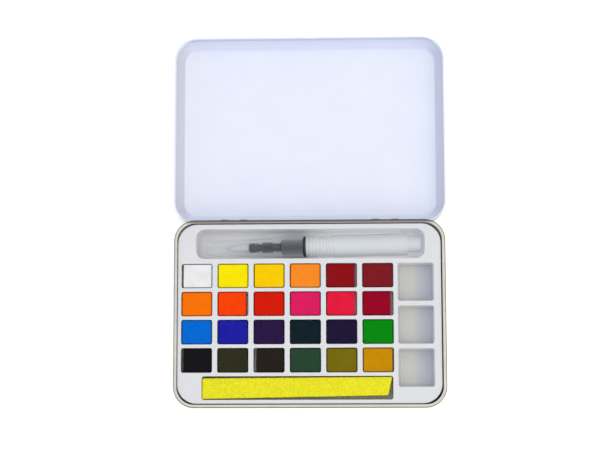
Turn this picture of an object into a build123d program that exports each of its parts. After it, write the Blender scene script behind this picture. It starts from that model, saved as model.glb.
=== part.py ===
from build123d import *
from math import asin, cos, degrees, pi, radians, sin, sqrt
import os

# A hinged tin of watercolours, lying open: the lid has swung right over and lies
# flat on the table behind the base. Millimetres, +Z up, +X to the right along the long
# side, +Y towards the hinge. The origin is the middle of the base's flat underside.

# Sheet metal of the tin
sheet = 0.45
curl_width = 1.5           # how far the rolled rim stands out from the wall
curl_height = 1.8
curl_round = 0.86
foot_round = 2.5           # outer radius where the base's wall meets its floor
tin_corner = 12.4          # plan radius of the rolled rim
rim_above_deck = 0.8

# Lid
lid_gap = 0.4              # between the lid's hem and the rolled rim
shoulder_gap = 0.25        # between the closed lid's sloping shoulder and the rim
hem = 0.45                 # fold inside the lid's edge
hem_height = 4.6
shoulder_slope = 5.6       # the shoulder falls this far over this width, from panel to skirt
panel_round = 3.0          # outer radius where the panel meets the shoulder
skirt_round = 1.5          # outer radius where the shoulder meets the skirt
dimple_radius = 2.2
dimple_slope = 0.7
dimple_from_middle = 52.4  # front pair, along X
dimple_from_hinge = 23.0   # side pair, along Y
dimple_drop = 1.9          # below the rolled rim
notch_radius = 9.0         # thumb notch in the middle of the front edge
notch_depth = 0.45
notch_shift = 0.9

# Hinges
hinge_from_middle = 45.0
pin_radius = 0.5
pin_running = 0.05
knuckle_wall = 0.4
web_half_height = 0.57     # tab that carries a base knuckle
base_knuckle = 4.5
lid_knuckle = 6.4
knuckle_gap = 0.3
open_gap = 0.35            # between the open lid's skirt and the base's wall

# Moulded tray
tray_wall = 0.7
tray_gap = 0.55
tray_corner = 11.5
tray_shift = -0.2          # it lies a little to the left in the tin
lip_round = 0.4
deck_round = 0.5
margin_left = 2.15
margin_right = 4.35
margin_front = 2.3
margin_back = 3.0
skirt_above_foot = 0.5     # the tray's skirt ends this far above the tin's foot round

# Cells and the paint cakes in them
cell_length = 18.3
cell_width = 14.4
cell_depth = 7.5
cell_corner = 1.2
cell_floor_round = 0.3
cell_draft = 1.0
column_rib = 3.0
row_rib = 2.15
cake_side_room = 0.45
cake_end_room = 0.35
cake_height = 6.6
cake_corner = 0.9
cake_edge_round = 0.35

# Mixing wells
wells = 3
well_land = 2.5            # between the last column of cells and the wells
well_length = 21.2
well_width = 22.4
well_depth = 9.0
well_rib = 2.7
well_corner = 1.4
well_floor_round = 2.0
well_draft = 7.0

# Sponge and its recess
sponge_length = 111.3
sponge_width = 12.1        # at the left end
sponge_narrow = 10.8       # at the right end
sponge_height = 10.7
sponge_slant = 2.4         # the right end is cut at a slant
sponge_turn = 0.35
sponge_round = 0.6
sponge_end_room = 0.35
sponge_side_room = 0.8
sponge_below_deck = 1.0
sponge_land = 2.1
sponge_recess_shift = -7.1
sponge_recess_corner = 1.5
sponge_recess_draft = 0.6

# Water brush, measured along its own axis from the tip of the cap
cap_length = 57.4
cap_tip_radius = 4.65
cap_mouth_radius = 6.45
cap_wall = 0.7
cap_tip_round = 1.0
cap_inner_round = 0.6
mouth_gap = 0.3            # between the cap's mouth and the seal ring
tuft_length = 15.0
tuft_radius = 1.75
glue_length = 1.2          # the tuft's glued root, inside the ferrule
glue_skin = 0.2            # how far the glue stands out round the bristles
ferrule_ahead = 32.5       # the ferrule's mouth is this far ahead of the seal ring
ferrule_length = 3.7
ferrule_radius = 2.9
ferrule_round = 0.35
holder_groove = 0.9
groove_depth = 0.7
holder_ring = 0.8
ribbed_ahead = 24.7
ribbed_length = 6.4
ribbed_radius = 3.2
ribbed_rings = 7
ring_depth = 0.4
ring_flank = 0.25          # share of a ring's pitch that each flank takes
holder_neck = 4.3
holder_neck_radius = 2.4
neck_slope = 1.0
holder_back_radius = 4.7
holder_tail = 2.0          # how far the holder reaches into the collar
seal_length = 1.5
seal_radius = 6.2
seal_round = 0.3
collar_length = 16.3
collar_radius = 6.2
collar_rib = 2.05
collar_ribs = 7
rib_depth = 0.35
rib_flank = 0.2            # shares of a rib's pitch: each flank, and the floor between them
rib_floor = 0.25
barrel_length = 44.2
barrel_radius = 6.6
barrel_wall = 0.95
barrel_end_wall = 1.425
barrel_shoulder = 0.9
barrel_lip = 0.25
thread_length = 6.0
thread_pitch = 1.5
thread_depth = 0.4
thread_flank = 0.3         # shares of the thread's pitch: each flank, and the crest
thread_crest = 0.2
plug_length = 7.8
plug_radius = 4.75
plug_hole = 3.1            # radius of the hole in the barrel's end
plug_inside = 2.0
plug_edge = [(0.8, 0), (0.2, 0.48), (0, 1.2)]   # back from the plug's end, and in from its radius
wick_radius = 0.7
wick_beyond_holder = 11.0
fit = 0.05                 # between pieces of the brush that push together
strands = 330
strand_radius = 0.055
strand_root = 0.03         # share of the tuft's length that the strands reach into the glue
strand_stagger = 0.22      # how much shorter the outermost strands are, as a share
tuft_shape = [(0, 1.0), (0.35, 1.12), (0.7, 0.78), (1, 0.12)]   # share of the length, width against the root
brush_turn = 0.9
brush_left_room = 5.75
brush_right_room = 1.6
brush_side_room = 2.125
brush_below_deck = 2.3
brush_forward = 0.8        # it leans towards the front wall of its recess
brush_land = 2.9
brush_recess_shift = 0.6
floor_gap = 0.3            # under the brush and under the sponge
brush_recess_corner = 5.0
brush_floor_round = 3.0
brush_recess_draft = 1.5

colours = [
    ["white", "lemon_yellow", "deep_yellow", "light_orange", "dark_crimson", "maroon"],
    ["orange", "red_orange", "scarlet", "magenta_pink", "rose_red", "crimson"],
    ["bright_blue", "ultramarine", "dark_violet", "blue_black", "indigo", "green"],
    ["black", "dark_olive", "brown_black", "dark_green", "olive", "ochre"],
]
# Cakes that are shorter than their cell: the room at the right end, or at the left
# end where it is negative. One cake lies a little turned, in degrees.
short_cake = {"white": -1.1, "dark_crimson": 1.3, "red_orange": 1.4, "rose_red": 1.2, "crimson": 1.6,
              "black": -1.2, "brown_black": -1.5, "ochre": 0.8}
turned_cake = {"rose_red": -0.8}

columns = len(colours[0])
rows = len(colours)

# Layout of the tray, from its contents outwards
brush_recess_depth = floor_gap + 2 * barrel_radius + brush_below_deck
brush_recess_width = 2 * barrel_radius + 2 * brush_side_room
sponge_recess_length = sponge_length + 2 * sponge_end_room
sponge_recess_width = sponge_width + 2 * sponge_side_room
sponge_recess_depth = sponge_height + floor_gap + sponge_below_deck
cells_length = columns * cell_length + (columns - 1) * column_rib
cells_width = rows * cell_width + (rows - 1) * row_rib
tray_length = margin_left + cells_length + well_land + well_length + margin_right
tray_width = (margin_front + sponge_recess_width + sponge_land + cells_width
              + brush_land + brush_recess_width + margin_back)
deck_z = sheet + tray_wall + brush_recess_depth
skirt_foot_z = foot_round + skirt_above_foot
tray_left = tray_shift - tray_length / 2
cells_left = tray_left + margin_left
cells_front = -tray_width / 2 + margin_front + sponge_recess_width + sponge_land
cells_back = cells_front + cells_width
wells_left = cells_left + cells_length + well_land
sponge_recess_x = tray_shift + sponge_recess_shift
sponge_recess_y = -tray_width / 2 + margin_front + sponge_recess_width / 2
brush_recess_y = cells_back + brush_land + brush_recess_width / 2

# The tin goes round the tray, and the lid round the tin
wall_length = tray_length + 2 * (tray_gap + sheet)
wall_width = tray_width + 2 * (tray_gap + sheet)
tin_length = wall_length + 2 * curl_width
tin_width = wall_width + 2 * curl_width
tin_height = deck_z + rim_above_deck
wall_corner = tin_corner - curl_width
skirt_out = lid_gap + hem + sheet
lid_length = tin_length + 2 * skirt_out
lid_width = tin_width + 2 * skirt_out
lid_corner = tin_corner + skirt_out

# The closed lid's 45 degree shoulder clears the rolled rim, which sets its height
shoulder_inner_z = tin_height + sqrt(2) * (curl_round + shoulder_gap) - 2 * curl_round - lid_gap - hem
lid_top_z = shoulder_inner_z + (sqrt(2) - 1) * sheet + shoulder_slope

# The open lid lies flat on the table, close to the base's wall
lid_depth = lid_top_z / 2
lid_edge_z = lid_top_z - lid_depth
hinge_y = (wall_width / 2 + open_gap + lid_width / 2) / 2
hinge_z = lid_edge_z
open_angle = 180
knuckle_bore = pin_radius + pin_running
knuckle_radius = knuckle_bore + knuckle_wall
hinge_length = 2 * base_knuckle + lid_knuckle + 2 * knuckle_gap

# Stations along the brush
cap_end = cap_length
seal_start = cap_end + mouth_gap
collar_start = seal_start + seal_length
barrel_start = collar_start + collar_length
barrel_end = barrel_start + barrel_length
brush_length = barrel_end + plug_length
ferrule_start = seal_start - ferrule_ahead
holder_end = collar_start + holder_tail
brush_recess_length = brush_length * cos(radians(brush_turn)) + brush_left_room + brush_right_room
brush_recess_x = tray_shift + brush_recess_shift
tip_x = brush_recess_x - brush_recess_length / 2 + brush_left_room
middle_y = brush_recess_y - brush_forward
tip_y = middle_y - brush_length / 2 * sin(radians(brush_turn))
# It lies on the floor of its recess, on the cap's tip and the barrel's front edge
brush_pitch = degrees(asin((barrel_radius - cap_tip_radius) / (barrel_start - cap_tip_round)))
tip_z = sheet + tray_wall + floor_gap + cap_tip_radius


def rounded_block(length, width, corner, low, high, x=0.0, y=0.0):
    """An upright block with rounded corners in plan, from one height to another."""
    return Pos(x, y, low) * extrude(RectangleRounded(length, width, corner), high - low)


def pocket(length, width, corner, depth, draft, floor_round):
    """The space of a moulded recess, from its opening at z = 0 down to its floor."""
    space = extrude(RectangleRounded(length, width, corner), -depth, taper=draft)
    return fillet(space.edges().group_by(Axis.Z)[0], floor_round)


def turned(points):
    """A piece turned about the X axis, from the (x, radius) points of its half section."""
    outline = Polyline(*points, close=True)
    return revolve(make_face(outline), Axis.X)


def knuckle(x, length):
    """The tube of one knuckle, round the hinge's axis, its bore not yet made."""
    tube = Cylinder(knuckle_radius, length, rotation=(0, 90, 0))
    return Pos(x, hinge_y, hinge_z) * tube


def bore(x, length):
    """The hole for the hinge pin."""
    return Pos(x, hinge_y, hinge_z) * Cylinder(knuckle_bore, length, rotation=(0, 90, 0))


def base_knuckle_places():
    """Middles of the base's four knuckles, along X."""
    reach_x = (lid_knuckle + base_knuckle) / 2 + knuckle_gap
    return [side * hinge_from_middle + end * reach_x for side in (-1, 1) for end in (-1, 1)]


def make_base_tin():
    """The pressed base: floor, wall, rolled rim and the fixed knuckles."""
    body = rounded_block(wall_length, wall_width, wall_corner, 0, tin_height)
    body = fillet(body.edges().group_by(Axis.Z)[0], foot_round)
    rim = rounded_block(tin_length, tin_width, tin_corner, tin_height - curl_height, tin_height)
    rim = fillet(rim.edges().group_by(Axis.Z)[0], curl_round)
    rim = fillet(rim.edges().group_by(Axis.Z)[-1], curl_round)
    body += rim
    web_depth = hinge_y - wall_width / 2 + sheet / 2
    for x in base_knuckle_places():
        body += knuckle(x, base_knuckle)
        web = Box(base_knuckle, web_depth, 2 * web_half_height)
        body += Pos(x, hinge_y - web_depth / 2, hinge_z) * web
    room = rounded_block(wall_length - 2 * sheet, wall_width - 2 * sheet, wall_corner - sheet,
                         sheet, tin_height + 1)
    room = fillet(room.edges().group_by(Axis.Z)[0], foot_round - sheet)
    body -= room
    for x in base_knuckle_places():
        body -= bore(x, base_knuckle + knuckle_gap)
    return body


def dimple_places():
    """Points on the closed lid's skirt, and the outward direction at each."""
    front = [(side * dimple_from_middle, -lid_width / 2, 0, -1) for side in (-1, 1)]
    side_y = hinge_y - dimple_from_hinge
    sides = [(side * lid_length / 2, side_y, side, 0) for side in (-1, 1)]
    return front + sides


def lid_form(inset, low):
    """The lid as a solid block with its sloping shoulder, drawn in all round by an inset."""
    block = rounded_block(lid_length - 2 * inset, lid_width - 2 * inset, lid_corner - inset,
                          low, lid_top_z - inset)
    block = chamfer(block.edges().group_by(Axis.Z)[-1], shoulder_slope - (2 - sqrt(2)) * inset)
    # From the top: the panel's edges, the slanting seams, then the skirt's upper edges
    block = fillet(block.edges().group_by(Axis.Z)[-3], skirt_round - inset)
    return fillet(block.edges().group_by(Axis.Z)[-1], panel_round - inset)


def make_closed_lid():
    """The pressed lid as it lies on the closed tin: panel, shoulder, skirt, hem and knuckles."""
    shell = lid_form(0, lid_edge_z) - lid_form(sheet, lid_edge_z - 1)
    fold = rounded_block(lid_length - sheet, lid_width - sheet, lid_corner - sheet / 2,
                         lid_edge_z, lid_edge_z + hem_height)
    inside = 2 * (sheet + hem)
    fold -= rounded_block(lid_length - inside, lid_width - inside, lid_corner - inside / 2,
                          lid_edge_z - 1, lid_edge_z + hem_height + 1)
    shell += fold
    dimple_z = tin_height - curl_height - dimple_drop
    for x, y, out_x, out_y in dimple_places():
        face = Plane(origin=(x, y, dimple_z), z_dir=(-out_x, -out_y, 0))
        bump = Cone(dimple_radius, dimple_radius - dimple_slope, hem + sheet / 2,
                    align=(Align.CENTER, Align.CENTER, Align.MIN))
        dent = Cone(dimple_radius - sheet, dimple_radius - sheet - dimple_slope, hem,
                    align=(Align.CENTER, Align.CENTER, Align.MIN))
        shell += face * Pos(0, 0, sheet / 2) * bump
        shell -= face * dent
    notch = Cylinder(notch_radius, hem_height, align=(Align.CENTER, Align.CENTER, Align.MIN))
    notch_y = -lid_width / 2 - notch_radius + notch_depth
    shell -= Pos(notch_shift, notch_y, lid_edge_z) * notch
    clear = knuckle_radius + knuckle_gap
    for x in base_knuckle_places():
        shell -= Pos(x, hinge_y, hinge_z) * Box(base_knuckle + 2 * knuckle_gap, 4 * clear, 2 * clear)
    for side in (-1, 1):
        shell += knuckle(side * hinge_from_middle, lid_knuckle)
        shell -= bore(side * hinge_from_middle, lid_knuckle + knuckle_gap)
    return shell


def make_lid_tin():
    """The lid swung open about the hinge, until it lies on the table."""
    closed = Pos(0, -hinge_y, -hinge_z) * make_closed_lid()
    return Pos(0, hinge_y, hinge_z) * (Rot(-open_angle, 0, 0) * closed)


def make_hinge_pin(side):
    """A wire pin as long as its hinge."""
    return Pos(side * hinge_from_middle, hinge_y, hinge_z) * Cylinder(
        pin_radius, hinge_length, rotation=(0, 90, 0))


def cell_places():
    """Name, column and row middle of every cell, from the back left."""
    places = []
    for row, names in enumerate(colours):
        y = cells_back - cell_width / 2 - row * (cell_width + row_rib)
        for column, name in enumerate(names):
            x = cells_left + cell_length / 2 + column * (cell_length + column_rib)
            places.append((name, x, y))
    return places


def recesses():
    """Place and sizes of every recess in the tray: x, y and the arguments of pocket."""
    cells = [(x, y, cell_length, cell_width, cell_corner, cell_depth, cell_draft, cell_floor_round)
             for _, x, y in cell_places()]
    mixing = [(wells_left + well_length / 2,
               cells_back - well_width / 2 - index * (well_width + well_rib),
               well_length, well_width, well_corner, well_depth, well_draft, well_floor_round)
              for index in range(wells)]
    brush = (brush_recess_x, brush_recess_y, brush_recess_length, brush_recess_width,
             brush_recess_corner, brush_recess_depth, brush_recess_draft, brush_floor_round)
    sponge = (sponge_recess_x, sponge_recess_y, sponge_recess_length, sponge_recess_width,
              sponge_recess_corner, sponge_recess_depth, sponge_recess_draft, cell_floor_round)
    return cells + mixing + [brush, sponge]


def make_paint_tray():
    """The thin moulded insert: a deck with a skirt, and a cup for each recess."""
    tray = rounded_block(tray_length, tray_width, tray_corner, skirt_foot_z, deck_z, tray_shift)
    tray = fillet(tray.edges().group_by(Axis.Z)[-1], deck_round)
    tray -= rounded_block(tray_length - 2 * tray_wall, tray_width - 2 * tray_wall,
                          tray_corner - tray_wall, skirt_foot_z - 1, deck_z - tray_wall, tray_shift)
    cups = []
    spaces = []
    for x, y, length, width, corner, depth, draft, floor_round in recesses():
        place = Pos(x, y, deck_z)
        cups.append(place * pocket(length + 2 * tray_wall, width + 2 * tray_wall, corner + tray_wall,
                                   depth + tray_wall, draft, floor_round + tray_wall))
        spaces.append(place * pocket(length, width, corner, depth, draft, floor_round))
    tray = tray + cups
    tray = tray - spaces
    deck_face = tray.faces().filter_by(Axis.Z).sort_by(Axis.Z)[-1]
    lips = [edge for wire in deck_face.inner_wires() for edge in wire.edges()]
    return fillet(lips, lip_round)


def make_cake(name, x, y):
    """A cast cake of paint on the floor of its cell."""
    narrowing = 2 * cell_depth * sin(radians(cell_draft))
    wide_room = short_cake.get(name, cake_side_room)
    shift = (cake_side_room - abs(wide_room)) / 2
    if wide_room < 0:
        shift = -shift
    length = cell_length - narrowing - cake_side_room - abs(wide_room)
    width = cell_width - narrowing - 2 * cake_end_room
    cake = rounded_block(length, width, cake_corner, 0, cake_height)
    cake = fillet(cake.edges().group_by(Axis.Z)[-1], cake_edge_round)
    place = Pos(x + shift, y, deck_z - cell_depth) * Rot(0, 0, turned_cake.get(name, 0))
    return place * cake


def make_sponge():
    """The sponge strip in the front recess, its right end cut at a slant."""
    half = sponge_length / 2
    outline = Polyline((-half, -sponge_width), (half - sponge_slant, -sponge_narrow), (half, 0),
                       (-half, 0), close=True)
    block = extrude(make_face(outline), sponge_height)
    block = fillet(block.edges().filter_by(Axis.Z), sponge_round)
    block = fillet(block.edges().group_by(Axis.Z)[-1], sponge_round)
    floor_z = deck_z - sponge_recess_depth + floor_gap
    back_y = sponge_recess_y + sponge_recess_width / 2 - sponge_side_room
    return Pos(sponge_recess_x, back_y, floor_z) * Rot(0, 0, sponge_turn) * block


def on_brush(piece):
    """Place a piece modelled along the X axis, from the cap's tip, where the brush lies."""
    return Pos(tip_x, tip_y, tip_z) * Rot(0, 0, brush_turn) * Rot(0, -brush_pitch, 0) * piece


def make_brush_cap():
    """The clear tapered cap, closed at its tip."""
    slope = (cap_mouth_radius - cap_tip_radius) / cap_length
    inner_tip = cap_tip_radius + slope * 2 * cap_wall - cap_wall
    cap = turned([(0, 0), (0, cap_tip_radius), (cap_length, cap_mouth_radius), (cap_length, 0)])
    cap = fillet(cap.edges().group_by(Axis.X)[0], cap_tip_round)
    space = turned([(2 * cap_wall, 0), (2 * cap_wall, inner_tip),
                    (cap_length + 1, cap_mouth_radius - cap_wall), (cap_length + 1, 0)])
    return cap - fillet(space.edges().group_by(Axis.X)[0], cap_inner_round)


def make_nib_holder():
    """The dark moulding that grips the bristles and carries water to them."""
    x = ferrule_start
    groove_radius = ferrule_radius - groove_depth
    profile = [(x, 0), (x, ferrule_radius - ferrule_round), (x + ferrule_round, ferrule_radius)]
    x += ferrule_length
    profile += [(x, ferrule_radius), (x, groove_radius)]
    x += holder_groove
    profile += [(x, groove_radius), (x, ferrule_radius)]
    x += holder_ring
    ribbed_start = seal_start - ribbed_ahead
    profile += [(x, ferrule_radius), (x, groove_radius), (ribbed_start, groove_radius)]
    ring = ribbed_length / ribbed_rings
    for index in range(ribbed_rings):
        start = ribbed_start + index * ring
        profile += [(start, ribbed_radius - ring_depth), (start + ring * ring_flank, ribbed_radius),
                    (start + ring * (1 - ring_flank), ribbed_radius)]
    x = ribbed_start + ribbed_length
    profile += [(x, ribbed_radius - ring_depth), (x, holder_neck_radius)]
    x += holder_neck
    profile += [(x, holder_neck_radius), (x + neck_slope, holder_back_radius),
                (holder_end, holder_back_radius), (holder_end, 0)]
    holder = turned(profile)
    root = tuft_radius + 2 * fit + glue_skin
    holder -= turned([(ferrule_start - 1, 0), (ferrule_start - 1, root),
                      (ferrule_start + glue_length, root), (ferrule_start + glue_length, 0)])
    channel = wick_radius + fit
    return holder - turned([(ferrule_start, 0), (ferrule_start, channel),
                            (holder_end + 1, channel), (holder_end + 1, 0)])


def make_feed_wick():
    """The felt rod that feeds water from the barrel to the bristles."""
    start = ferrule_start + glue_length + fit
    end = holder_end + wick_beyond_holder
    return turned([(start, 0), (start, wick_radius), (end, wick_radius), (end, 0)])


def make_seal_ring():
    """The black ring that the cap's mouth closes against."""
    inner = holder_back_radius + fit
    end = collar_start - fit
    return turned([(seal_start, inner), (seal_start, seal_radius - seal_round),
                   (seal_start + seal_round, seal_radius), (end - seal_round, seal_radius),
                   (end, seal_radius - seal_round), (end, inner)])


def make_neck_collar():
    """The ribbed collar, with the thread that screws into the barrel."""
    inner = holder_back_radius + fit
    ribs_start = collar_start + (collar_length - collar_ribs * collar_rib) / 2
    profile = [(collar_start, inner), (collar_start, collar_radius)]
    for index in range(collar_ribs):
        start = ribs_start + index * collar_rib
        floor = start + collar_rib * rib_flank
        rise = floor + collar_rib * rib_floor
        profile += [(start, collar_radius), (floor, collar_radius - rib_depth),
                    (rise, collar_radius - rib_depth), (rise + collar_rib * rib_flank, collar_radius)]
    shoulder_x = barrel_start - fit
    crest = barrel_radius - barrel_wall - fit
    root = crest - thread_depth
    profile += [(shoulder_x, collar_radius), (shoulder_x, root)]
    turns = int((thread_length - thread_depth) / thread_pitch)
    for index in range(turns):
        start = shoulder_x + thread_depth + index * thread_pitch
        rise = start + thread_pitch * thread_flank
        fall = rise + thread_pitch * thread_crest
        profile += [(start, root), (rise, crest), (fall, crest), (fall + thread_pitch * thread_flank, root)]
    end = shoulder_x + thread_length
    profile += [(end, root), (end, inner)]
    return turned(profile)


def make_water_barrel():
    """The soft squeezable barrel, open towards the collar and bored for the plug."""
    inner = barrel_radius - barrel_wall
    barrel = turned([(barrel_start, 0), (barrel_start, barrel_radius), (barrel_end, barrel_radius),
                     (barrel_end, 0)])
    barrel = fillet(barrel.edges().group_by(Axis.X)[-1], barrel_shoulder)
    barrel = fillet(barrel.edges().group_by(Axis.X)[0], barrel_lip)
    back = barrel_end - barrel_end_wall
    barrel -= turned([(barrel_start - 1, 0), (barrel_start - 1, inner),
                      (back - barrel_shoulder, inner), (back, inner - barrel_shoulder), (back, 0)])
    return barrel - turned([(back - 1, 0), (back - 1, plug_hole), (barrel_end + 1, plug_hole),
                            (barrel_end + 1, 0)])


def make_end_plug():
    """The stopper in the barrel's end."""
    shank = plug_hole - fit
    start = barrel_end - barrel_end_wall - plug_inside
    end = barrel_end + plug_length
    edge = [(end - back, plug_radius - inward) for back, inward in plug_edge]
    return turned([(start, 0), (start, shank), (barrel_end + fit, shank), (barrel_end + fit, plug_radius)]
                  + edge + [(end, 0)])


def spread(share):
    """How wide the tuft is, against its root, at a share of its length from the root."""
    for (near, wide), (far, narrow) in zip(tuft_shape, tuft_shape[1:]):
        if share <= far:
            return wide + (narrow - wide) * (share - near) / (far - near)
    return tuft_shape[-1][1]


def strand(index):
    """One bristle: a three-sided tapering rod that follows the tuft's shape."""
    distance = sqrt((index + 0.5) / strands)
    angle = index * pi * (3 - sqrt(5))
    end = 1 - strand_stagger * distance * distance
    sections = []
    for share in (-strand_root, tuft_shape[1][0], tuft_shape[2][0], end):
        wide = spread(max(share, 0))
        x = ferrule_start - share * tuft_length
        y = tuft_radius * distance * wide * cos(angle)
        z = tuft_radius * distance * wide * sin(angle)
        plane = Plane(origin=(x, y, z), x_dir=(0, 1, 0), z_dir=(-1, 0, 0))
        sections.append(plane * RegularPolygon(strand_radius * wide, 3))
    return loft(sections, ruled=True)


def make_bristle_tuft():
    """The bristles, joined to the plug of glue that holds them in the ferrule."""
    start = ferrule_start + glue_skin
    end = ferrule_start + glue_length
    glue_radius = tuft_radius + glue_skin
    glue = turned([(start, 0), (start, glue_radius), (end, glue_radius), (end, 0)])
    bristles = Compound([strand(index).solid() for index in range(strands)])
    return glue.solid().fuse(bristles)


def make_all():
    """Every piece, by its name."""
    pieces = {
        "base_tin": make_base_tin(),
        "lid_tin": make_lid_tin(),
        "hinge_pin_left": make_hinge_pin(-1),
        "hinge_pin_right": make_hinge_pin(1),
        "paint_tray": make_paint_tray(),
        "sponge": make_sponge(),
    }
    for name, x, y in cell_places():
        pieces["cake_" + name] = make_cake(name, x, y)
    brush = {
        "brush_cap": make_brush_cap(),
        "bristle_tuft": make_bristle_tuft(),
        "nib_holder": make_nib_holder(),
        "feed_wick": make_feed_wick(),
        "seal_ring": make_seal_ring(),
        "neck_collar": make_neck_collar(),
        "water_barrel": make_water_barrel(),
        "end_plug": make_end_plug(),
    }
    for name, piece in brush.items():
        pieces[name] = on_brush(piece)
    return pieces


os.makedirs("parts", exist_ok=True)
for node, shape in make_all().items():
    export_step(shape, "parts/" + node + ".step")
print("open angle", round(open_angle, 3), "hinge axis", round(hinge_y, 3), round(hinge_z, 3))
print("tin", round(tin_length, 2), round(tin_width, 2), round(tin_height, 2))
print("lid", round(lid_length, 2), round(lid_width, 2), "closed height", round(lid_top_z, 2))
print("brush tip", round(tip_x, 3), round(tip_y, 3), round(tip_z, 3), "length", round(brush_length, 2),
      "pitch", round(brush_pitch, 3))
print("deck", round(deck_z, 2), "cells from", round(cells_left, 2), round(cells_back, 2))
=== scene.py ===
import math

import bpy
import numpy as np
from mathutils import Matrix, Vector


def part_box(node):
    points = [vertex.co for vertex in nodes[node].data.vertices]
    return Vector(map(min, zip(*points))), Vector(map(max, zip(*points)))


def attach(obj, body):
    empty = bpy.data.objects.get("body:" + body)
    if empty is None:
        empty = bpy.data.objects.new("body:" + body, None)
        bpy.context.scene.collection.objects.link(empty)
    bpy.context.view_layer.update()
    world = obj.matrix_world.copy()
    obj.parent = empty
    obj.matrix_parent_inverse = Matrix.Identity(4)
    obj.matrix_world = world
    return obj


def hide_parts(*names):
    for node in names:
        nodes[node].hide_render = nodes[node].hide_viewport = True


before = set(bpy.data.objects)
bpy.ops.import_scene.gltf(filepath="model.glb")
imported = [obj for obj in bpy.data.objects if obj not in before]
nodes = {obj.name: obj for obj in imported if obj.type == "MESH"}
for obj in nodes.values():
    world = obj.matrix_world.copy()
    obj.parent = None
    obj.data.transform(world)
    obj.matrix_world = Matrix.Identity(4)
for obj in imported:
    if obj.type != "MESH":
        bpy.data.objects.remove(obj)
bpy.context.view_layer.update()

mm = 0.001


# Small helpers

def srgb(red, green, blue):
    # Turns 0-255 screen values into the linear colour that a shader takes.
    screen = np.array([red, green, blue]) / 255.0
    linear = np.where(screen <= 0.04045, screen / 12.92, ((screen + 0.055) / 1.055) ** 2.4)
    return (float(linear[0]), float(linear[1]), float(linear[2]), 1.0)


def shade(colour, amount):
    # The same colour, lighter above 1 and darker below it.
    return tuple(min(1.0, channel * amount) for channel in colour[:3]) + (1.0,)


def addNode(tree, kind, settings=None, values=None):
    # A shader node with its settings and unlinked sockets filled in.
    node = tree.nodes.new(kind)
    for key, value in (settings or {}).items():
        setattr(node, key, value)
    for key, value in (values or {}).items():
        node.inputs[key].default_value = value
    return node


def join(tree, source, output, target, slot):
    # Links one socket to another.
    tree.links.new(source.outputs[output], target.inputs[slot])


def multiply(tree, first, second):
    # The product of two nodes' first outputs.
    product = addNode(tree, "ShaderNodeMath", {"operation": "MULTIPLY"})
    join(tree, first, 0, product, 0)
    join(tree, second, 0, product, 1)
    return product


def signedVolume(points, quads):
    # Volume inside the faces: a sum of tetrahedra from the origin, negative if inside out.
    a, b, c, d = (points[quads[:, k]] for k in range(4))
    first = np.einsum("ij,ij->i", a, np.cross(b, c))
    second = np.einsum("ij,ij->i", a, np.cross(c, d))
    return float((first + second).sum() / 6.0)


def buildMesh(name, points, quads):
    # A smooth mesh object at the origin from points in metres. A quad whose last two corners
    # agree is a triangle.
    if signedVolume(points, quads) < 0:
        quads = quads[:, ::-1]
    faces = [list(dict.fromkeys(face)) for face in quads.tolist()]
    mesh = bpy.data.meshes.new(name)
    mesh.from_pydata(points.tolist(), [], faces)
    mesh.polygons.foreach_set("use_smooth", np.full(len(mesh.polygons), True))
    mesh.update()
    piece = bpy.data.objects.new(name, mesh)
    bpy.context.collection.objects.link(piece)
    return piece


def ringQuads(rings, around):
    # Quads between rings of the same count, each ring closed on itself.
    row, column = np.meshgrid(np.arange(rings - 1), np.arange(around), indexing="ij")
    following = (column + 1) % around
    corners = [row * around + column, row * around + following,
               (row + 1) * around + following, (row + 1) * around + column]
    return np.stack([corner.ravel() for corner in corners], axis=1)


def ringShell(rings):
    # Points and quads of a closed skin over rings (n, m, 3), with a pole at each end's middle.
    count, around = rings.shape[:2]
    poles = np.array([rings[0].mean(axis=0), rings[-1].mean(axis=0)])
    points = np.concatenate([rings.reshape(-1, 3), poles])
    column = np.arange(around)
    following = (column + 1) % around
    start, end = count * around, count * around + 1
    last = (count - 1) * around
    lower = np.stack([following, column, np.full(around, start), np.full(around, start)], axis=1)
    upper = np.stack([last + column, last + following, np.full(around, end), np.full(around, end)], axis=1)
    return points, np.concatenate([ringQuads(count, around), lower, upper])


def waves(x, y, seed, reach, count=7):
    # Gentle unevenness: a sum of sine waves of random heading and phase, about -1 to 1.
    rng = np.random.default_rng(seed)
    total = np.zeros_like(x)
    for _ in range(count):
        heading = rng.uniform(0, 2 * np.pi)
        length = reach * rng.uniform(0.6, 1.6)
        total = total + np.sin(2 * np.pi * (x * np.cos(heading) + y * np.sin(heading)) / length
                               + rng.uniform(0, 2 * np.pi))
    return total / math.sqrt(count)


scatter = {"mixers": (73856093, 19349663, 83492791), "factors": (7, 131, 523), "steps": 1009,
           "farOff": 9.0}   # whole numbers that turn a cube's place into a steady random point


def nearestPore(points, cell, seed):
    # Distance to the nearest of many scattered points, one in each cube of the given size.
    cube = np.floor(points / cell).astype(np.int64)
    nearest = np.full(len(points), scatter["farOff"])
    mixX, mixY, mixZ = scatter["mixers"]
    for dx in (-1, 0, 1):
        for dy in (-1, 0, 1):
            for dz in (-1, 0, 1):
                near = cube + np.array([dx, dy, dz])
                mixed = (near[:, 0] * mixX) ^ (near[:, 1] * mixY) ^ (near[:, 2] * mixZ) ^ seed
                jitter = np.stack([((mixed * factor) % scatter["steps"]) / float(scatter["steps"])
                                   for factor in scatter["factors"]], axis=1)
                gap = np.linalg.norm((near + jitter) * cell - points, axis=1) / cell
                nearest = np.minimum(nearest, gap)
    return nearest


# Shared effects, as node groups

# Sockets of a Mix node by number: mask, the two colours and the mixed colour, then the two
# plain numbers that it mixes instead
mixMask, mixFirst, mixSecond, mixResult = 0, 6, 7, 2
numberFirst, numberSecond = 2, 3


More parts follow.
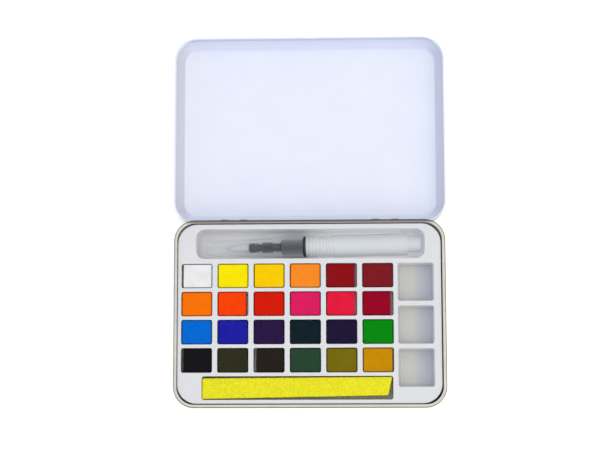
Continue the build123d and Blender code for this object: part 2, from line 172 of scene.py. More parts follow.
def makeGroup(name, inputs, outputs):
    # An empty shader node group with named float or vector sockets.
    group = bpy.data.node_groups.new(name, "ShaderNodeTree")
    for socket, kind, value in inputs:
        made = group.interface.new_socket(socket, in_out="INPUT", socket_type=kind)
        if value is not None:
            made.default_value = value
    for socket, kind in outputs:
        group.interface.new_socket(socket, in_out="OUTPUT", socket_type=kind)
    return group, group.nodes.new("NodeGroupInput"), group.nodes.new("NodeGroupOutput")


def makeMottle():
    # Cloudy variation, with fine grain on it: two noises mixed by a share.
    group, entry, leave = makeGroup(
        "mottle",
        [("Vector", "NodeSocketVector", None), ("Cloud Scale", "NodeSocketFloat", 60.0),
         ("Grain Scale", "NodeSocketFloat", 900.0), ("Grain Share", "NodeSocketFloat", 0.3)],
        [("Value", "NodeSocketFloat")])
    cloud = addNode(group, "ShaderNodeTexNoise", values={"Detail": 4.0, "Roughness": 0.55})
    grain = addNode(group, "ShaderNodeTexNoise", values={"Detail": 2.0, "Roughness": 0.6})
    blend = addNode(group, "ShaderNodeMix", {"data_type": "FLOAT"})
    join(group, entry, "Vector", cloud, "Vector")
    join(group, entry, "Vector", grain, "Vector")
    join(group, entry, "Cloud Scale", cloud, "Scale")
    join(group, entry, "Grain Scale", grain, "Scale")
    join(group, entry, "Grain Share", blend, mixMask)
    join(group, cloud, 0, blend, numberFirst)
    join(group, grain, 0, blend, numberSecond)
    join(group, blend, 0, leave, "Value")
    return group


def makeSpecks():
    # Sparse small specks, such as dust or paint grit: 1 in a speck, 0 elsewhere.
    group, entry, leave = makeGroup(
        "specks",
        [("Vector", "NodeSocketVector", None), ("Scale", "NodeSocketFloat", 300.0),
         ("Size", "NodeSocketFloat", 0.12)],
        [("Mask", "NodeSocketFloat")])
    cells = addNode(group, "ShaderNodeTexVoronoi", {"feature": "F1"})
    inside = addNode(group, "ShaderNodeMath", {"operation": "LESS_THAN"})
    join(group, entry, "Vector", cells, "Vector")
    join(group, entry, "Scale", cells, "Scale")
    join(group, cells, "Distance", inside, 0)
    join(group, entry, "Size", inside, 1)
    join(group, inside, 0, leave, "Mask")
    return group


mottle = makeMottle()
specks = makeSpecks()


def newMaterial(name, **constants):
    # A material with its Principled shader and object coordinates ready to link.
    material = bpy.data.materials.new(name)
    material.use_nodes = True
    tree = material.node_tree
    shader = tree.nodes["Principled BSDF"]
    for key, value in constants.items():
        shader.inputs[key.replace("_", " ")].default_value = value
    place = tree.nodes.new("ShaderNodeTexCoord")
    return material, tree, shader, place


def addMottle(tree, place, grain, low=0.0, high=1.0):
    # A mottle group on object coordinates, stretched to the range low to high. The grain is
    # its cloud scale, grain scale and grain share.
    cloudScale, grainScale, grainShare = grain
    made = addNode(tree, "ShaderNodeGroup", {"node_tree": mottle},
                   {"Cloud Scale": cloudScale, "Grain Scale": grainScale, "Grain Share": grainShare})
    join(tree, place, "Object", made, "Vector")
    spread = addNode(tree, "ShaderNodeMapRange", values={"From Min": 0.3, "From Max": 0.7,
                                                         "To Min": low, "To Max": high})
    join(tree, made, "Value", spread, "Value")
    return spread


def addSheen(tree, place, shader, grain, smooth, rough):
    # Roughness that drifts between a smooth and a rough value.
    sheen = addMottle(tree, place, grain, smooth, rough)
    join(tree, sheen, 0, shader, "Roughness")
    return sheen


def mixColours(tree, mask, first, second):
    # Two colours mixed by a node's first output; returns the Mix node.
    mix = addNode(tree, "ShaderNodeMix", {"data_type": "RGBA"}, {mixFirst: first, mixSecond: second})
    join(tree, mask, 0, mix, mixMask)
    return mix


def addBump(tree, shader, height, relief):
    # Surface relief from a node's first output. The relief is its strength and distance.
    strength, distance = relief
    bump = addNode(tree, "ShaderNodeBump", values={"Strength": strength, "Distance": distance})
    join(tree, height, 0, bump, "Height")
    join(tree, bump, "Normal", shader, "Normal")


# Materials

def ramp(tree, place, output, component, limits):
    # Runs from 0 at the first limit to 1 at the second with one component of the position or
    # the normal.
    low, high = limits
    split = addNode(tree, "ShaderNodeSeparateXYZ")
    join(tree, place, output, split, 0)
    run = addNode(tree, "ShaderNodeMapRange", {"interpolation_type": "SMOOTHSTEP"},
                  {"From Min": low, "From Max": high})
    join(tree, split, component, run, "Value")
    return run


lookDown = 20 * mm   # how far above a shell's rim the point is that its inner faces look at


def insideMask(tree, place, node):
    # 1 on the faces of a shell that look towards a point a little above its middle, else 0.
    low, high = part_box(node)
    middle = ((low[0] + high[0]) / 2, (low[1] + high[1]) / 2, high[2] + lookDown)
    toMiddle = addNode(tree, "ShaderNodeVectorMath", {"operation": "SUBTRACT"}, {0: middle})
    join(tree, place, "Object", toMiddle, 1)
    facing = addNode(tree, "ShaderNodeVectorMath", {"operation": "DOT_PRODUCT"})
    join(tree, toMiddle, 0, facing, 0)
    join(tree, place, "Normal", facing, 1)
    inside = addNode(tree, "ShaderNodeMath", {"operation": "GREATER_THAN"}, {1: 0.0})
    join(tree, facing, "Value", inside, 0)
    return inside


# Limits on the normal's Z run from upright at 0 to level at 1
# Tinplate tones: light and dark are a random mottle; wall, side and the tone by the hinges are painted
# shade and painted reflection
tinplate = {"light": srgb(194, 190, 177), "dark": srgb(176, 172, 161), "side": srgb(98, 95, 98),
            "wall": srgb(168, 167, 163), "hingeShade": srgb(92, 85, 78), "cloud": (140.0, 2400.0, 0.3),
            "rearLimits": (52.5 * mm, 54.5 * mm), "turnLimits": (0.1, 0.45),
            "levelLimits": (0.8, 0.99), "sheen": (35.0, 1500.0, 0.4), "smooth": 0.26,
            "rough": 0.42, "relief": (0.05, 0.0002), "bareRim": 1.0 * mm}
# Enamel tones: tone and shadeTone are a random mottle; the slope and skirt tones are painted shade on the
# walls
enamel = {"tone": srgb(233, 238, 251), "shadeTone": srgb(229, 234, 249),
          "longSlope": srgb(221, 226, 247), "shortSlope": srgb(206, 207, 222),
          "longSkirt": srgb(205, 209, 238), "shortSkirt": srgb(240, 241, 248),
          "cloud": (45.0, 1800.0, 0.2), "wallShadeLimits": (0.2, 0.6), "levelLimits": (0.72, 0.99),
          "endFrom": 0.25, "endTo": 0.65, "sheen": (30.0, 1500.0, 0.35), "smooth": 0.34,
          "rough": 0.46, "relief": (0.04, 0.0002)}


def metalTone(tree, place):
    # Rolled tinplate: a random warm mottle on level faces, and painted shade by tilt and place: a painted
    # dark reflection where it turns down, a painted greyer shade on upright walls and painted shade near
    # the hinges.
    cloud = addMottle(tree, place, tinplate["cloud"])
    top = mixColours(tree, cloud, tinplate["light"], tinplate["dark"])
    # Painted shade along the back edge, near the hinges
    hingeShade = ramp(tree, place, "Object", "Y", tinplate["rearLimits"])
    rearShaded = mixColours(tree, hingeShade, tinplate["light"], tinplate["hingeShade"])
    join(tree, top, mixResult, rearShaded, mixFirst)
    # Painted dark reflection on sloping faces, painted greyer shade on upright walls
    turn = ramp(tree, place, "Normal", "Z", tinplate["turnLimits"])
    side = mixColours(tree, turn, tinplate["wall"], tinplate["side"])
    level = ramp(tree, place, "Normal", "Z", tinplate["levelLimits"])
    mix = mixColours(tree, level, tinplate["side"], tinplate["light"])
    join(tree, side, mixResult, mix, mixFirst)
    join(tree, rearShaded, mixResult, mix, mixSecond)
    return mix, cloud


def enamelTone(tree, place):
    # White lacquer with a random mottle on the panel, and painted shade on the walls by how steep they are
    # and which way they face: bluish grey on the long sides' skirts and slopes, greyer on the short sides'
    # slopes, lighter on the short sides' skirts.
    cloud = addMottle(tree, place, enamel["cloud"])
    panel = mixColours(tree, cloud, enamel["tone"], enamel["shadeTone"])
    # Painted shade: the walls' tones follow their steepness and, below, which side they face
    paintedShade = ramp(tree, place, "Normal", "Z", enamel["wallShadeLimits"])
    level = ramp(tree, place, "Normal", "Z", enamel["levelLimits"])
    split = addNode(tree, "ShaderNodeSeparateXYZ")
    join(tree, place, "Normal", split, 0)
    sideways = addNode(tree, "ShaderNodeMath", {"operation": "ABSOLUTE"})
    join(tree, split, "X", sideways, 0)
    end = addNode(tree, "ShaderNodeMapRange", values={"From Min": enamel["endFrom"],
                                                      "From Max": enamel["endTo"]})
    join(tree, sideways, 0, end, "Value")
    slope = mixColours(tree, end, enamel["longSlope"], enamel["shortSlope"])
    skirt = mixColours(tree, end, enamel["longSkirt"], enamel["shortSkirt"])
    wall = mixColours(tree, paintedShade, enamel["longSkirt"], enamel["longSlope"])
    join(tree, skirt, mixResult, wall, mixFirst)
    join(tree, slope, mixResult, wall, mixSecond)
    mix = mixColours(tree, level, enamel["longSlope"], enamel["tone"])
    join(tree, wall, mixResult, mix, mixFirst)
    join(tree, panel, mixResult, mix, mixSecond)
    return mix


def makeTinplate():
    # Bare tinplate all over, for the hinge pins.
    material, tree, shader, place = newMaterial("tinplateBare", Metallic=1.0)
    tone, cloud = metalTone(tree, place)
    join(tree, tone, mixResult, shader, "Base Color")
    addSheen(tree, place, shader, tinplate["sheen"], tinplate["smooth"], tinplate["rough"])
    addBump(tree, shader, cloud, tinplate["relief"])
    return material


def makeTinFinish(name, node, rimLevel):
    # White enamel on the faces that look into the pressed shell, below its bare rim; tinplate elsewhere.
    material, tree, shader, place = newMaterial(name)
    inside = insideMask(tree, place, node)
    below = addNode(tree, "ShaderNodeMath", {"operation": "LESS_THAN"}, {1: rimLevel})
    split = addNode(tree, "ShaderNodeSeparateXYZ")
    join(tree, place, "Object", split, 0)
    join(tree, split, "Z", below, 0)
    coated = multiply(tree, inside, below)
    bare = addNode(tree, "ShaderNodeMath", {"operation": "SUBTRACT"}, {0: 1.0})
    join(tree, coated, 0, bare, 1)
    metal, cloud = metalTone(tree, place)
    white = enamelTone(tree, place)
    both = addNode(tree, "ShaderNodeMix", {"data_type": "RGBA"})
    join(tree, coated, 0, both, mixMask)
    join(tree, metal, mixResult, both, mixFirst)
    join(tree, white, mixResult, both, mixSecond)
    join(tree, both, mixResult, shader, "Base Color")
    join(tree, bare, 0, shader, "Metallic")
    addSheen(tree, place, shader, enamel["sheen"], enamel["smooth"], enamel["rough"])
    addBump(tree, shader, cloud, enamel["relief"])
    return material


# Tray tones: light and dark are a random mottle; deep and the right-hand deep tone are painted shade and
# painted shadow in the wells; pale is painted light in the brush's recess
trayPlastic = {"light": srgb(223, 223, 225), "dark": srgb(217, 218, 220), "deep": srgb(198, 198, 194),
               "deepRightShadow": srgb(182, 184, 197), "rightLimits": (60.0 * mm, 67.0 * mm),
               "pale": srgb(231, 232, 235), "deepFrom": 15.5 * mm, "deepTo": 6.0 * mm,
               "wellsLeft": 50.5 * mm, "wellsBack": 30.5 * mm, "brushFront": 31.5 * mm,
               "capTip": -30.0 * mm, "border": 1.0 * mm, "cloud": (70.0, 1600.0, 0.25),
               "sheen": (50.0, 2000.0, 0.4), "smooth": 0.26, "rough": 0.38, "relief": (0.06, 0.0002),
               "scatterRadius": (1.0, 0.95, 0.9)}


def withinPlan(tree, place, mask, limitsX, limitsY):
    # The mask kept only in part of the plan: times a ramp along X and one along Y.
    for component, limits in (("X", limitsX), ("Y", limitsY)):
        mask = multiply(tree, mask, ramp(tree, place, "Object", component, limits))
    return mask


def makeTrayPlastic():
    # White thermoformed plastic with a random mottle; painted shade greys the mixing wells the deeper they
    # go, with a bluer painted shadow on their right parts, and painted light lifts the brush's recess.
    material, tree, shader, place = newMaterial("trayPlasticWhite", Subsurface_Weight=0.15,
                                                Subsurface_Scale=0.002, IOR=1.49)
    shader.inputs["Subsurface Radius"].default_value = trayPlastic["scatterRadius"]
    border, deepFrom = trayPlastic["border"], trayPlastic["deepFrom"]
    left, back, front = trayPlastic["wellsLeft"], trayPlastic["wellsBack"], trayPlastic["brushFront"]
    cloud = addMottle(tree, place, trayPlastic["cloud"])
    deck = mixColours(tree, cloud, trayPlastic["light"], trayPlastic["dark"])
    # Painted shade in the mixing wells, greyer with depth and bluer towards each well's right wall
    depth = ramp(tree, place, "Object", "Z", (deepFrom, trayPlastic["deepTo"]))
    wells = withinPlan(tree, place, depth, (left - border, left + border), (back + border, back - border))
    across = ramp(tree, place, "Object", "X", trayPlastic["rightLimits"])
    deep = mixColours(tree, across, trayPlastic["deep"], trayPlastic["deepRightShadow"])
    paintedShade = mixColours(tree, wells, trayPlastic["light"], trayPlastic["deep"])
    join(tree, deep, mixResult, paintedShade, mixSecond)
    join(tree, deck, mixResult, paintedShade, mixFirst)
    # Painted light on the floor of the brush's recess, around the brush
    below = ramp(tree, place, "Object", "Z", (deepFrom + border, deepFrom))
    recess = withinPlan(tree, place, below, (2 * trayPlastic["capTip"], trayPlastic["capTip"]),
                        (front - border, front + border))
    tone = mixColours(tree, recess, trayPlastic["light"], trayPlastic["pale"])
    join(tree, paintedShade, mixResult, tone, mixFirst)
    join(tree, tone, mixResult, shader, "Base Color")
    sheen = addSheen(tree, place, shader, trayPlastic["sheen"], trayPlastic["smooth"], trayPlastic["rough"])
    addBump(tree, shader, sheen, trayPlastic["relief"])
    return material


pigments = {
    "white": (238, 238, 236), "lemon_yellow": (252, 232, 0), "deep_yellow": (255, 205, 0),
    "light_orange": (255, 140, 35), "dark_crimson": (140, 12, 20), "maroon": (125, 25, 32),
    "orange": (255, 115, 0), "red_orange": (255, 65, 0), "scarlet": (215, 25, 3),
    "magenta_pink": (222, 28, 95), "rose_red": (230, 25, 60), "crimson": (150, 0, 35),
    "bright_blue": (0, 105, 210), "ultramarine": (28, 28, 160), "dark_violet": (40, 20, 65),
    "blue_black": (12, 30, 38), "indigo": (28, 18, 50), "green": (0, 135, 10),
    "black": (18, 16, 18), "dark_olive": (45, 45, 28), "brown_black": (35, 30, 22),
    "dark_green": (38, 68, 48), "olive": (118, 105, 10), "ochre": (200, 140, 0),
}
paint = {"lighter": 1.06, "darker": 0.86, "cloud": (220.0, 3200.0, 0.45), "sheen": (160.0, 2600.0, 0.5),
         "smooth": 0.42, "rough": 0.66, "gritScale": 1900.0, "gritSize": 0.18, "relief": (0.12, 0.0001)}


def makePaint(name, tone):
    # A dry cake of paint: strong even colour, fine grain, a soft sheen where it was poured.
    colour = srgb(*tone)
    material, tree, shader, place = newMaterial("paint_" + name, IOR=1.45, Specular_IOR_Level=0.05)
    cloud = addMottle(tree, place, paint["cloud"])
    mix = mixColours(tree, cloud, shade(colour, paint["lighter"]), shade(colour, paint["darker"]))
    join(tree, mix, mixResult, shader, "Base Color")
    addSheen(tree, place, shader, paint["sheen"], paint["smooth"], paint["rough"])
    grit = addNode(tree, "ShaderNodeGroup", {"node_tree": specks},
                   {"Scale": paint["gritScale"], "Size": paint["gritSize"]})
    join(tree, place, "Object", grit, "Vector")
    height = addNode(tree, "ShaderNodeMath", {"operation": "SUBTRACT"})
    join(tree, cloud, 0, height, 0)
    join(tree, grit, "Mask", height, 1)
    addBump(tree, shader, height, paint["relief"])
    return material


foam = {"light": srgb(240, 233, 20), "dark": srgb(200, 188, 0), "poreScale": 1500.0,
        "webFrom": 0.1, "webTo": 0.55, "webShare": 0.75, "cloud": (260.0, 2600.0, 0.5),
        "cloudMost": 0.5, "relief": (0.5, 0.0003)}


def makeFoam():
    # Yellow open-cell sponge: small pores of mixed size in a pale web, darker yellow in the pores as
    # painted shade in the holes, with a random mottle.
    material, tree, shader, place = newMaterial("spongeFoamYellow", Roughness=0.9,
                                                Subsurface_Weight=0.15, Subsurface_Scale=0.001)
    cells = addNode(tree, "ShaderNodeTexVoronoi", {"feature": "F1"}, {"Scale": foam["poreScale"]})
    join(tree, place, "Object", cells, "Vector")
    web = addNode(tree, "ShaderNodeMapRange", values={"From Min": foam["webFrom"],
                                                      "From Max": foam["webTo"]})
    join(tree, cells, "Distance", web, "Value")
    cloud = addMottle(tree, place, foam["cloud"], 0.0, foam["cloudMost"])
    both = addNode(tree, "ShaderNodeMath", {"operation": "MULTIPLY_ADD", "use_clamp": True},
                   {1: foam["webShare"]})
    join(tree, web, 0, both, 0)
    join(tree, cloud, 0, both, 2)
    # Painted shade: darker yellow towards each pore's middle
    mix = mixColours(tree, both, foam["dark"], foam["light"])
    join(tree, mix, mixResult, shader, "Base Color")
    addBump(tree, shader, web, foam["relief"])
    return material


# The share of its cover is what a see-through plastic keeps in its shadow
clearPlastic = {"darker": 0.97, "cloud": (120.0, 1800.0, 0.3), "sheen": (90.0, 2200.0, 0.4),
                "edgeBlend": 0.35, "shadowShare": 0.1}


def makeClear(name, tone, smooth, rough, thin, thick):
    # Moulded see-through plastic: nearly clear face-on (thin), denser seen edge-on (thick). It passes
    # on most of the light that falls on it, so its shadow is lighter than it looks.
    material, tree, shader, place = newMaterial(name, IOR=1.47)
    tint = addMottle(tree, place, clearPlastic["cloud"])
    mix = mixColours(tree, tint, tone, shade(tone, clearPlastic["darker"]))
    join(tree, mix, mixResult, shader, "Base Color")
    addSheen(tree, place, shader, clearPlastic["sheen"], smooth, rough)
    edge = addNode(tree, "ShaderNodeLayerWeight", values={"Blend": clearPlastic["edgeBlend"]})
    density = addNode(tree, "ShaderNodeMapRange", values={"To Min": thin, "To Max": thick})
    join(tree, edge, "Facing", density, "Value")
    lightPath = tree.nodes.new("ShaderNodeLightPath")
    passing = addNode(tree, "ShaderNodeMapRange",
                      values={"To Min": 1.0, "To Max": clearPlastic["shadowShare"]})
    join(tree, lightPath, "Is Shadow Ray", passing, "Value")
    join(tree, multiply(tree, density, passing), 0, shader, "Alpha")
    return material


moulding = {"cloud": (200.0, 2600.0, 0.4), "sheen": (150.0, 2600.0, 0.5), "relief": (0.06, 0.0001)}


def makeMoulded(name, light, dark, smooth, rough):
    # Opaque moulded plastic or rubber with a faint grain.
    material, tree, shader, place = newMaterial(name, IOR=1.5)
    tone = addMottle(tree, place, moulding["cloud"])
    mix = mixColours(tree, tone, light, dark)
    join(tree, mix, mixResult, shader, "Base Color")
    addSheen(tree, place, shader, moulding["sheen"], smooth, rough)
    addBump(tree, shader, tone, moulding["relief"])
    return material


clearPieces = {
    "brush_cap": {"name": "capClear", "tone": srgb(226, 231, 235),
                  "smooth": 0.06, "rough": 0.14, "thin": 0.02, "thick": 0.75},
    "neck_collar": {"name": "collarFrosted", "tone": srgb(219, 222, 224),
                    "smooth": 0.3, "rough": 0.4, "thin": 0.6, "thick": 0.95},
    "water_barrel": {"name": "barrelFrosted", "tone": srgb(212, 216, 219),
                     "smooth": 0.36, "rough": 0.46, "thin": 0.72, "thick": 0.98},
    "end_plug": {"name": "plugFrosted", "tone": srgb(215, 219, 223),
                 "smooth": 0.34, "rough": 0.44, "thin": 0.72, "thick": 1.0},
}
mouldedPieces = {
    "nib_holder": {"name": "holderDark", "light": srgb(40, 46, 64), "dark": srgb(26, 30, 44),
                   "smooth": 0.3, "rough": 0.5},
    "seal_ring": {"name": "sealBlack", "light": srgb(26, 26, 30), "dark": srgb(14, 14, 16),
                  "smooth": 0.4, "rough": 0.6},
    "feed_wick": {"name": "wickFelt", "light": srgb(232, 232, 226), "dark": srgb(212, 212, 206),
                  "smooth": 0.8, "rough": 0.95},
}


def finishNode(node, material):
    # Gives a CAD node its material in every slot.
    mesh = nodes[node].data
    mesh.materials.clear()
    mesh.materials.append(material)


bareTin = makeTinplate()
for node in ("hinge_pin_left", "hinge_pin_right"):
    finishNode(node, bareTin)
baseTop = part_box("base_tin")[1][2]
finishNode("base_tin", makeTinFinish("baseTinFinish", "base_tin", baseTop - tinplate["bareRim"]))
finishNode("lid_tin", makeTinFinish("lidTinFinish", "lid_tin", baseTop))
finishNode("paint_tray", makeTrayPlastic())
for node, finish in clearPieces.items():
    finishNode(node, makeClear(**finish))
    nodes[node].visible_diffuse = False   # scattered light passes through the see-through pieces
nodes["brush_cap"].visible_shadow = False   # so clear that light reaches what lies in it
for node, finish in mouldedPieces.items():
    finishNode(node, makeMoulded(**finish))
print("materials of the CAD pieces done")


# Paint cakes: rings from the foot up over the rounded edge to the middle of the top

cake = {"corner": 0.55 * mm, "arcSteps": 7, "sideSteps": 22, "edge": 0.32 * mm, "foot": 0.2 * mm,
        "edgeSteps": 6, "dish": 0.1 * mm, "dishShoulder": 0.4, "unevenness": 0.05 * mm,
        "waveReach": 5 * mm, "topRings": 16, "topFrom": 0.97, "topTo": 0.05, "firstSeed": 40}
cakeTurn = {"rose_red": -0.8}   # degrees; the other cakes lie square in their cells


def roundedRectangle(half, corner, arcSteps, sideSteps):
    # Four quarter arcs of the corner radius about the corners' centres, joined by straight sides.
    parts = []
    for quarter, side in enumerate([(1, 1), (-1, 1), (-1, -1), (1, -1)]):
        angle = (quarter + np.linspace(0, 1, arcSteps)) * np.pi / 2
        centre = (np.array(half) - corner) * side
        parts.append(centre + corner * np.stack([np.cos(angle), np.sin(angle)], axis=1))
    share = np.linspace(0, 1, sideSteps + 1)[1:-1, None]
    whole = []
    for quarter in range(4):
        following = parts[(quarter + 1) % 4]
        whole += [parts[quarter], parts[quarter][-1] + (following[0] - parts[quarter][-1]) * share]
    return np.concatenate(whole)


def turned(x, y, degrees):
    # The point turned about the origin in plan.
    turn = math.radians(degrees)
    return x * math.cos(turn) - y * math.sin(turn), x * math.sin(turn) + y * math.cos(turn)


def makeCake(name, seed):
    # Cast cake: straight sides, crisp rim, and a top that sank a little as it dried.
    low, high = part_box("cake_" + name)
    across, deep, height = (high[k] - low[k] for k in range(3))
    degrees = cakeTurn.get(name, 0.0)
    cosine, sine = math.cos(math.radians(degrees)), abs(math.sin(math.radians(degrees)))
    # A turned rectangle's box is w cos + d sin by w sin + d cos, solved here for w and d
    square = cosine ** 2 - sine ** 2
    half = ((across * cosine - deep * sine) / square / 2, (deep * cosine - across * sine) / square / 2)
    outline = roundedRectangle(half, cake["corner"], cake["arcSteps"], cake["sideSteps"])
    arc = np.linspace(0, np.pi / 2, cake["edgeSteps"])
    inset = np.concatenate([cake["foot"] * (1 - np.sin(arc)), cake["edge"] * (1 - np.cos(arc))])
    level = np.concatenate([cake["foot"] * (1 - np.cos(arc)), height - cake["edge"] * (1 - np.sin(arc))])
    toCentre = np.linspace(cake["topFrom"], cake["topTo"], cake["topRings"])
    scaleIn = 1 - inset[:, None] / np.array(half)[None, :]
    edgeRings = outline[None, :, :] * scaleIn[:, None, :]
    topRings = edgeRings[-1][None, :, :] * toCentre[:, None, None]
    flat = np.concatenate([edgeRings, topRings])
    heights = np.concatenate([level, np.full(cake["topRings"], height)])
    z = np.repeat(heights[:, None], len(outline), axis=1)
    fromEdge = 1 - np.concatenate([np.ones(len(level)), toCentre])
    dish = cake["dish"] * (1 - np.cos(np.pi * np.clip(fromEdge / cake["dishShoulder"], 0, 1))) / 2
    uneven = cake["unevenness"] * waves(flat[..., 0], flat[..., 1], seed, cake["waveReach"])
    z = z - dish[:, None] + uneven * (fromEdge > 0)[:, None]
    x, y = turned(flat[..., 0], flat[..., 1], degrees)
    points, quads = ringShell(np.stack([x + (low[0] + high[0]) / 2, y + (low[1] + high[1]) / 2, z + low[2]],
                                       axis=2))
    piece = buildMesh("paintCake_" + name, points, quads)
    piece.data.materials.append(makePaint(name, pigments[name]))
    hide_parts("cake_" + name)
    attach(piece, "base")


for seed, name in enumerate(pigments, cake["firstSeed"]):
    makeCake(name, seed)
print("paint cakes made:", len(pigments))


# Sponge strip: a rounded-rectangle profile carried along X, pitted with pores

sponge = {"length": 111.3 * mm, "widthLeft": 12.1 * mm, "widthRight": 10.8 * mm, "slant": 2.4 * mm,
          "turn": 0.35, "corner": 0.7 * mm, "arcSteps": 6, "sideSteps": 38, "edge": 0.6 * mm,
          "edgeSteps": 5, "along": 440, "capRings": 20, "capFrom": 0.04, "sag": 0.12 * mm,
          "sagReach": 40 * mm, "sagSeed": 6, "pore": 1.1 * mm, "poreDepth": 0.34 * mm,
          "poreRadius": 0.5, "poreSeed": 977, "poreSteepness": 1.5, "fineSize": 0.55,
          "fineDepth": 0.5, "fineSeed": 411, "sidePowers": (300, 16, 16)}


def makeSponge():
    # A cut wedge of foam: scattered pores pushed inwards, sides a little uneven.
    low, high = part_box("sponge")
    length, height = sponge["length"], high[2] - low[2]
    half = np.array([sponge["widthLeft"] / 2, height / 2])
    outline = roundedRectangle(half, sponge["corner"], sponge["arcSteps"], sponge["sideSteps"])
    arc = np.linspace(0, np.pi / 2, sponge["edgeSteps"])
    edge = sponge["edge"]
    shrink = np.linspace(sponge["capFrom"], 1 - edge / half[1], sponge["capRings"])
    capScale = np.concatenate([shrink, 1 - edge / half[1] * (1 - np.sin(arc[1:]))])
    capAlong = np.concatenate([np.zeros(sponge["capRings"]), edge * (1 - np.cos(arc[1:]))])
    middle = np.linspace(edge, length - edge, sponge["along"])[1:-1]
    along = np.concatenate([capAlong, middle, length - capAlong[::-1]])
    scale = np.concatenate([capScale, np.ones(len(middle)), capScale[::-1]])
    fromBack = half[0] - outline[None, :, 0] * scale[:, None]
    z = outline[None, :, 1] * scale[:, None]
    share = np.repeat(along[:, None], len(outline), axis=1) / length
    depth = fromBack / sponge["widthLeft"]
    x = length * (share - 0.5) - sponge["slant"] * depth * share
    y = -fromBack * (1 + (sponge["widthRight"] / sponge["widthLeft"] - 1) * share)
    z = z + sponge["sag"] * waves(x, y, sponge["sagSeed"], sponge["sagReach"]) * (z > 0)
    grid = np.stack([x, y, z], axis=2)
    flat = grid.reshape(-1, 3)
    fineCell = sponge["pore"] * sponge["fineSize"]
    radius = sponge["poreRadius"]
    pit = np.clip(1 - nearestPore(flat, sponge["pore"], sponge["poreSeed"]) / radius, 0, 1)
    fine = np.clip(1 - nearestPore(flat, fineCell, sponge["fineSeed"]) / radius, 0, 1)
    sink = sponge["poreDepth"] * (pit ** sponge["poreSteepness"] + sponge["fineDepth"] * fine)
    # High powers keep each pore square to its side, and turn it only near the edges
    outward = np.stack([(2 * share - 1).ravel(), (1 - 2 * depth).ravel(), flat[:, 2] / half[1]], axis=1)
    outward = np.sign(outward) * np.abs(outward) ** np.array(sponge["sidePowers"])
    outward = outward / np.maximum(np.linalg.norm(outward, axis=1, keepdims=True), 1e-9)
    flat = flat - outward * sink[:, None]
    # The CAD box's far right corner is the back edge's right end
    backX, backY = turned(length / 2, 0.0, sponge["turn"])
    turnedX, turnedY = turned(flat[:, 0], flat[:, 1], sponge["turn"])
    placed = np.stack([turnedX + high[0] - backX, turnedY + high[1] - backY,
                       flat[:, 2] + (low[2] + high[2]) / 2], axis=1)
    points, quads = ringShell(placed.reshape(grid.shape))
    piece = buildMesh("spongeStrip", points, quads)
    piece.data.materials.append(makeFoam())
    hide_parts("sponge")
    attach(piece, "sponge_strip")


makeSponge()
print("sponge made")


# Bristles: tapering four-sided strands that share the tuft's belly and point

tuft = {"strands": 430, "length": 15.0 * mm, "radius": 1.75 * mm, "strandRadius": 0.055 * mm,
        "rings": 9, "belly": 0.12, "bellyPower": 0.8, "taper": 0.9, "taperPower": 2.2,
        "stagger": 0.22, "buried": 0.06, "backing": 1.0 * mm, "turn": 0.9, "pitch": 1.5}
nylon = {"name": "bristleNylon", "light": srgb(246, 247, 248), "dark": srgb(232, 234, 238),
         "smooth": 0.35, "rough": 0.5}


def makeTuft():
    # Strand i starts on a sunflower spiral; its distance from the axis scales with the tuft's outline.
    low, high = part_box("bristle_tuft")
    turn, pitch = math.radians(tuft["turn"]), math.radians(tuft["pitch"])
    axis = np.array([math.cos(pitch) * math.cos(turn), math.cos(pitch) * math.sin(turn), math.sin(pitch)])
    side = np.array([-math.sin(turn), math.cos(turn), 0.0])
    up = np.cross(axis, side)
    centre = (np.array(low) + np.array(high)) / 2
    root = centre + axis * ((high[0] - low[0]) / 2 / axis[0] - tuft["backing"])
    index = np.arange(tuft["strands"])
    distance = np.sqrt((index + 0.5) / tuft["strands"])
    angle = index * math.pi * (3 - math.sqrt(5))
    # Outer strands end sooner, and all begin a little inside the holder
    end = 1 - tuft["stagger"] * distance ** 2
    share = np.linspace(-tuft["buried"], 1, tuft["rings"])[None, :] * end[:, None]
    swell = 1 + tuft["belly"] * np.sin(np.pi * np.clip(share, 0, 1) ** tuft["bellyPower"])
    wide = swell * (1 - tuft["taper"] * np.clip(share, 0, 1) ** tuft["taperPower"])
    radial = tuft["radius"] * distance[:, None] * wide
    corner = np.arange(4) * np.pi / 2
    thick = tuft["strandRadius"] * wide[:, :, None]
    back = -share[:, :, None] * tuft["length"] + 0 * corner
    across = (radial * np.cos(angle)[:, None])[:, :, None] + thick * np.cos(corner)
    above = (radial * np.sin(angle)[:, None])[:, :, None] + thick * np.sin(corner)
    grid = root + back[..., None] * axis + across[..., None] * side + above[..., None] * up
    strandPoints, strandQuads = ringShell(grid[0])
    count = len(strandPoints)
    allPoints = np.concatenate([ringShell(strandGrid)[0] for strandGrid in grid])
    allQuads = np.concatenate([strandQuads + k * count for k in range(tuft["strands"])])
    piece = buildMesh("bristleTuft", allPoints, allQuads)
    piece.data.materials.append(makeMoulded(**nylon))
    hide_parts("bristle_tuft")
    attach(piece, "water_brush")


makeTuft()
print("bristles made")


# Stage, lights and camera

stage = {"floorTone": srgb(250, 250, 250), "lift": 0.42, "size": 3.0, "drop": 0.0002, "ambient": 0.7}
lamps = {
    "ceilingSoftbox": {"place": (0.1, 0.15, 1.3), "size": 1.9, "power": 5.6, "tone": (1.0, 1.0, 1.0)},
    "keyWindow": {"place": (1.0, -0.5, 0.85), "size": 1.2, "power": 4.6, "tone": (1.0, 0.93, 0.83)},
    "coolFill": {"place": (-1.1, -0.2, 0.4), "size": 0.9, "power": 2.6, "tone": (0.3, 0.55, 1.0)},
}
lampAim = (0, 0.05, 0)   # between the base and the open lid


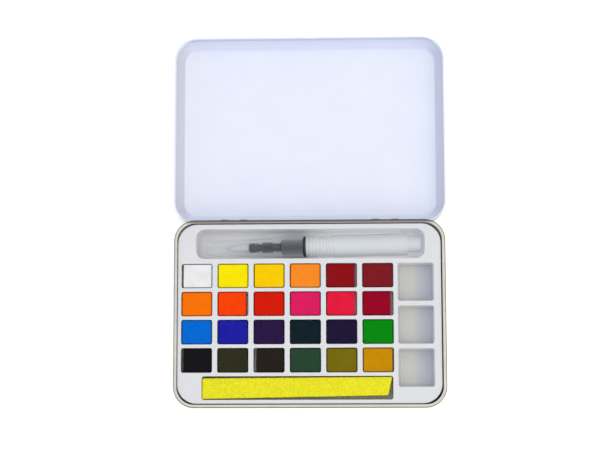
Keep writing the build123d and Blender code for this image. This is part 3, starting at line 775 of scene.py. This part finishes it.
def makeFloor():
    # A pale floor that shows white to the camera and keeps the object's shadow.
    half = stage["size"] / 2
    corners = np.array([[-half, -half, 0], [half, -half, 0], [half, half, 0], [-half, half, 0]])
    mesh = bpy.data.meshes.new("paleFloor")
    mesh.from_pydata((corners - [0, 0, stage["drop"]]).tolist(), [], [[0, 1, 2, 3]])
    floor = bpy.data.objects.new("paleFloor", mesh)
    bpy.context.collection.objects.link(floor)
    material, tree, shader, _ = newMaterial("paleFloor", Roughness=0.9, Specular_IOR_Level=0.0)
    shader.inputs["Base Color"].default_value = stage["floorTone"]
    lightPath = tree.nodes.new("ShaderNodeLightPath")
    seen = addNode(tree, "ShaderNodeMath", {"operation": "MULTIPLY"}, {1: stage["lift"]})
    join(tree, lightPath, "Is Camera Ray", seen, 0)
    shader.inputs["Emission Color"].default_value = (1, 1, 1, 1)
    join(tree, seen, 0, shader, "Emission Strength")
    mesh.materials.append(material)


def makeWorld():
    # Even white surroundings: white to the camera and in reflections, softer as light.
    world = bpy.data.worlds.new("softRoom")
    bpy.context.scene.world = world
    world.use_nodes = True
    tree = world.node_tree
    background = tree.nodes["Background"]
    background.inputs["Color"].default_value = (1, 1, 1, 1)
    lightPath = tree.nodes.new("ShaderNodeLightPath")
    level = addNode(tree, "ShaderNodeMapRange", values={"To Min": stage["ambient"], "To Max": 1.0})
    seen = lightPath.outputs["Is Camera Ray"]
    for ray in ("Is Glossy Ray", "Is Transmission Ray"):
        both = addNode(tree, "ShaderNodeMath", {"operation": "MAXIMUM"})
        tree.links.new(seen, both.inputs[0])
        join(tree, lightPath, ray, both, 1)
        seen = both.outputs[0]
    tree.links.new(seen, level.inputs["Value"])
    join(tree, level, 0, background, "Strength")


def addLamp(name, place, size, power, tone):
    # A square area lamp looking at the object.
    data = bpy.data.lights.new(name, "AREA")
    data.size = size
    data.energy = power
    data.color = tone
    lamp = bpy.data.objects.new(name, data)
    lamp.location = place
    direction = Vector(lampAim) - Vector(place)
    lamp.rotation_euler = direction.to_track_quat("-Z", "Y").to_euler()
    bpy.context.collection.objects.link(lamp)


photoCamera = {"spot": (0.02422, -0.05844, 0.89594), "tilt": 7.155, "lean": 1.965, "turn": -0.36,
               "lens": 90.0, "sensor": 36.0, "near": 0.01}


def makeCamera():
    # The photograph's view: nearly straight down, the near edge a little closer.
    data = bpy.data.cameras.new("photoCamera")
    data.lens = photoCamera["lens"]
    data.sensor_width = photoCamera["sensor"]
    data.clip_start = photoCamera["near"]
    camera = bpy.data.objects.new("photoCamera", data)
    turn = Matrix.Rotation(math.radians(photoCamera["turn"]), 4, "Z")
    tilt = Matrix.Rotation(math.radians(photoCamera["tilt"]), 4, "X")
    lean = Matrix.Rotation(math.radians(photoCamera["lean"]), 4, "Y")
    camera.rotation_euler = (turn @ tilt @ lean).to_euler()
    camera.location = photoCamera["spot"]
    bpy.context.collection.objects.link(camera)
    bpy.context.scene.camera = camera


makeFloor()
makeWorld()
for name, lamp in lamps.items():
    addLamp(name, **lamp)
makeCamera()
bpy.context.scene.view_settings.view_transform = "Standard"
print("stage, lamps and camera set")
